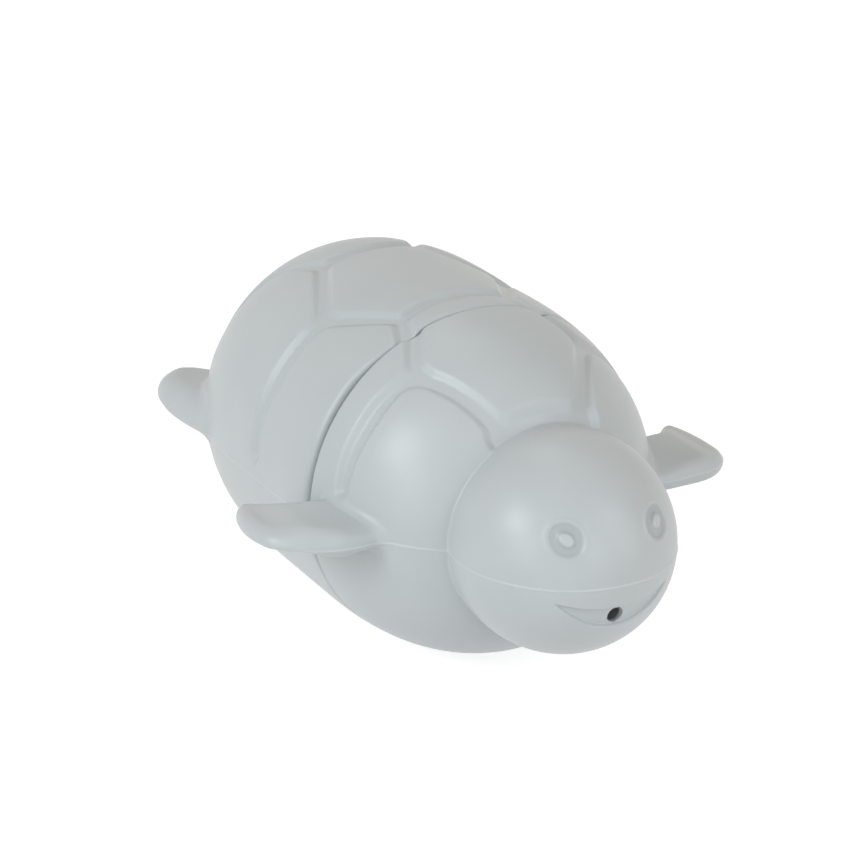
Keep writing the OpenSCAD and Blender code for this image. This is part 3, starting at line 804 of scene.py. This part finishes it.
def silicone_material(name, line_fall):
    """Matte silicone, with a painted highlight along its mould line, painted shade in the eyes' sunk
    rings and painted light on their pupils.
    """
    m, nodes, links, shader = new_material(name)
    shader.inputs["Roughness"].default_value = 0.37
    shader.inputs["IOR"].default_value = 1.45
    where = nodes.new("ShaderNodeTexCoord")
    tint = nodes.new("ShaderNodeTexNoise")
    tint.inputs["Scale"].default_value = 38.0
    tint.inputs["Detail"].default_value = 3.0
    ramp = nodes.new("ShaderNodeValToRGB")
    ramp.color_ramp.elements[0].position = 0.3
    ramp.color_ramp.elements[0].color = SILICONE_DARK
    ramp.color_ramp.elements[1].position = 0.7
    ramp.color_ramp.elements[1].color = SILICONE_PALE
    links.new(where.outputs["Object"], tint.inputs["Vector"])
    links.new(tint.outputs["Fac"], ramp.inputs["Fac"])

    split = nodes.new("ShaderNodeSeparateXYZ")
    links.new(where.outputs["Object"], split.inputs[0])
    side = math_node(nodes, links, "ABSOLUTE", split.outputs["X"])
    mirrored = nodes.new("ShaderNodeCombineXYZ")
    links.new(side, mirrored.inputs["X"])
    links.new(split.outputs["Y"], mirrored.inputs["Y"])
    links.new(split.outputs["Z"], mirrored.inputs["Z"])
    fall = math_node(nodes, links, "MULTIPLY", side, line_fall)
    height = math_node(nodes, links, "ADD", split.outputs["Z"], fall)
    off = math_node(nodes, links, "SUBTRACT", height, (PARTING_FRONT + AXIS_Z) * MM)
    off = math_node(nodes, links, "ABSOLUTE", off)
    # Painted highlight: the mould line's thin ridge is made paler where it would glint
    line = ramp_down(nodes, links, off, 0.00008, 0.00034)
    # Painted shade in the eyes' sunk rings, and painted light on their raised pupils
    ring, pupil = eye_masks(nodes, links, mirrored.outputs[0])
    shade = math_node(nodes, links, "MULTIPLY_ADD", line, LINE_PAINTED_HIGHLIGHT, 1.0)
    shade = math_node(nodes, links, "MULTIPLY_ADD", ring, RING_PAINTED_SHADE, shade)
    shade = math_node(nodes, links, "MULTIPLY_ADD", pupil, PUPIL_PAINTED_LIGHT, shade)
    colour = nodes.new("ShaderNodeVectorMath")
    colour.operation = "SCALE"
    links.new(ramp.outputs["Color"], colour.inputs[0])
    links.new(shade, colour.inputs["Scale"])
    links.new(colour.outputs[0], shader.inputs["Base Color"])

    grain = nodes.new("ShaderNodeTexNoise")
    grain.inputs["Scale"].default_value = 2600.0
    grain.inputs["Detail"].default_value = 2.0
    bump = nodes.new("ShaderNodeBump")
    bump.inputs["Strength"].default_value = 0.12
    bump.inputs["Distance"].default_value = 0.0001
    links.new(where.outputs["Object"], grain.inputs["Vector"])
    links.new(grain.outputs["Fac"], bump.inputs["Height"])
    links.new(bump.outputs["Normal"], shader.inputs["Normal"])
    return m


def plastic_material(name, dark, light, roughness):
    m, nodes, links, shader = new_material(name)
    shader.inputs["Roughness"].default_value = roughness
    where = nodes.new("ShaderNodeTexCoord")
    noise = nodes.new("ShaderNodeTexNoise")
    noise.inputs["Scale"].default_value = 400.0
    noise.inputs["Detail"].default_value = 4.0
    ramp = nodes.new("ShaderNodeValToRGB")
    ramp.color_ramp.elements[0].color = dark
    ramp.color_ramp.elements[1].color = light
    bump = nodes.new("ShaderNodeBump")
    bump.inputs["Strength"].default_value = 0.08
    bump.inputs["Distance"].default_value = 0.0001
    links.new(where.outputs["Object"], noise.inputs["Vector"])
    links.new(noise.outputs["Fac"], ramp.inputs["Fac"])
    links.new(ramp.outputs["Color"], shader.inputs["Base Color"])
    links.new(noise.outputs["Fac"], bump.inputs["Height"])
    links.new(bump.outputs["Normal"], shader.inputs["Normal"])
    return m


front_silicone = silicone_material("silicone_front", 0.0)
rear_silicone = silicone_material("silicone_rear", (PARTING_FRONT - PARTING_REAR) / PARTING_FALL_X)
white_plastic = plastic_material("squeaker_plastic", (0.80, 0.80, 0.77, 1), (0.87, 0.87, 0.84, 1), 0.38)
amber_film = plastic_material("reed_film", (0.60, 0.38, 0.13, 1), (0.69, 0.45, 0.17, 1), 0.3)

for half, node, body, finish in ((front, "front_half", "front", front_silicone),
                                 (rear, "rear_half", "rear", rear_silicone)):
    half.data.materials.append(finish)
    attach(half, body)
    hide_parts(node)

for node, finish in (("squeaker_housing", white_plastic), ("reed_block", white_plastic),
                     ("reed_clamp", white_plastic), ("squeaker_cap", white_plastic),
                     ("reed", amber_film)):
    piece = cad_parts[node]
    piece.data.materials.clear()
    piece.data.materials.append(finish)


# floor, light, camera
def seen_directly(nodes, links):
    """1 for rays from the camera and for those mirrored or let through by the object."""
    path = nodes.new("ShaderNodeLightPath")
    total = path.outputs["Is Camera Ray"]
    for kind in ("Is Glossy Ray", "Is Transmission Ray"):
        total = math_node(nodes, links, "MAXIMUM", total, path.outputs[kind])
    return total


def shown_white(tree, plain, shown, output):
    """Uses one shader for the light that falls on the object and another for what is seen."""
    mix = tree.nodes.new("ShaderNodeMixShader")
    tree.links.new(seen_directly(tree.nodes, tree.links), mix.inputs["Fac"])
    tree.links.new(plain, mix.inputs[1])
    tree.links.new(shown, mix.inputs[2])
    tree.links.new(mix.outputs[0], output)


WORLD_COLOUR, WORLD_STRENGTH = (1.0, 0.85, 0.70, 1), 0.43
FLOOR_HALF, FLOOR_GLOW = 1.0, 0.82
world = bpy.data.worlds.new("studio")
bpy.context.scene.world = world
world.use_nodes = True
sky = world.node_tree.nodes["Background"]
sky.inputs["Color"].default_value = WORLD_COLOUR
sky.inputs["Strength"].default_value = WORLD_STRENGTH
backdrop = world.node_tree.nodes.new("ShaderNodeBackground")
backdrop.inputs["Color"].default_value = (1, 1, 1, 1)
backdrop.inputs["Strength"].default_value = 1.0
shown_white(world.node_tree, sky.outputs[0], backdrop.outputs[0],
            world.node_tree.nodes["World Output"].inputs["Surface"])

floor_mesh = bpy.data.meshes.new("floor")
corners = [(x * FLOOR_HALF, y * FLOOR_HALF, 0) for x, y in ((-1, -1), (1, -1), (1, 1), (-1, 1))]
floor_mesh.from_pydata(corners, [], [(0, 1, 2, 3)])
floor = bpy.data.objects.new("floor", floor_mesh)
bpy.context.scene.collection.objects.link(floor)
floor_material = bpy.data.materials.new("floor")
floor_material.use_nodes = True
floor_mesh.materials.append(floor_material)
floor_tree = floor_material.node_tree
paper = floor_tree.nodes["Principled BSDF"]
paper.inputs["Base Color"].default_value = (0.9, 0.9, 0.9, 1)
paper.inputs["Roughness"].default_value = 0.9
# Seen directly the floor is white paper with the toy's faint shadow on it
glow = floor_tree.nodes.new("ShaderNodeEmission")
glow.inputs["Strength"].default_value = FLOOR_GLOW
shade = floor_tree.nodes.new("ShaderNodeBsdfDiffuse")
shade.inputs["Color"].default_value = (0.4, 0.4, 0.4, 1)
both = floor_tree.nodes.new("ShaderNodeAddShader")
floor_tree.links.new(glow.outputs[0], both.inputs[0])
floor_tree.links.new(shade.outputs[0], both.inputs[1])
shown_white(floor_tree, paper.outputs[0], both.outputs[0],
            floor_tree.nodes["Material Output"].inputs["Surface"])


# Name, direction round the toy and up in degrees, width in metres, power in watts
LAMPS = [("key", 274, 31, 0.42, 5.6), ("left_low", 290, 12, 0.5, 2.5), ("front_low", 0, 12, 0.5, 2.0),
         ("right_low", 35, 12, 0.5, 1.8), ("front", 28, 36, 0.4, 2.1), ("top_back", 170, 62, 0.5, 1.2)]
AIM = Vector((0, 0, 0.03))
LAMP_AWAY = 1.3
LAMP_COLOUR = (0.92, 1.0, 1.07)


def soft_lamp(name, place, width, power):
    lamp = bpy.data.lights.new(name, "AREA")
    lamp.size = width
    lamp.energy = power
    lamp.color = LAMP_COLOUR
    obj = bpy.data.objects.new(name, lamp)
    obj.location = place
    obj.rotation_mode = "QUATERNION"
    obj.rotation_quaternion = (AIM - place).to_track_quat("-Z", "Y")
    bpy.context.scene.collection.objects.link(obj)


for name, azimuth, height, width, power in LAMPS:
    a, e = np.radians(azimuth), np.radians(height)
    way = Vector((np.sin(a) * np.cos(e), -np.cos(a) * np.cos(e), np.sin(e)))
    soft_lamp(name, AIM + LAMP_AWAY * way, width, power)

# The photo's camera, fitted to the toy's outline, with its roll in degrees
CAMERA_AT, CAMERA_LENS, CAMERA_ROLL = (-0.2597, -0.4769, 0.2562), 126.635, 0.19
CAMERA_BACK = Vector((-0.43818417, -0.81986211, 0.36853868))
camera_data = bpy.data.cameras.new("camera")
camera_data.sensor_width = 36.0
camera_data.lens = CAMERA_LENS
camera_data.clip_start, camera_data.clip_end = 0.01, 20.0
camera = bpy.data.objects.new("camera", camera_data)
bpy.context.scene.collection.objects.link(camera)
camera_turn = (-CAMERA_BACK).to_track_quat("-Z", "Y").to_matrix()
camera_roll = Matrix.Rotation(np.radians(CAMERA_ROLL), 3, "Z")
camera.matrix_world = Matrix.Translation(CAMERA_AT) @ (camera_turn @ camera_roll).to_4x4()
bpy.context.scene.camera = camera

bpy.context.scene.view_settings.view_transform = "Standard"
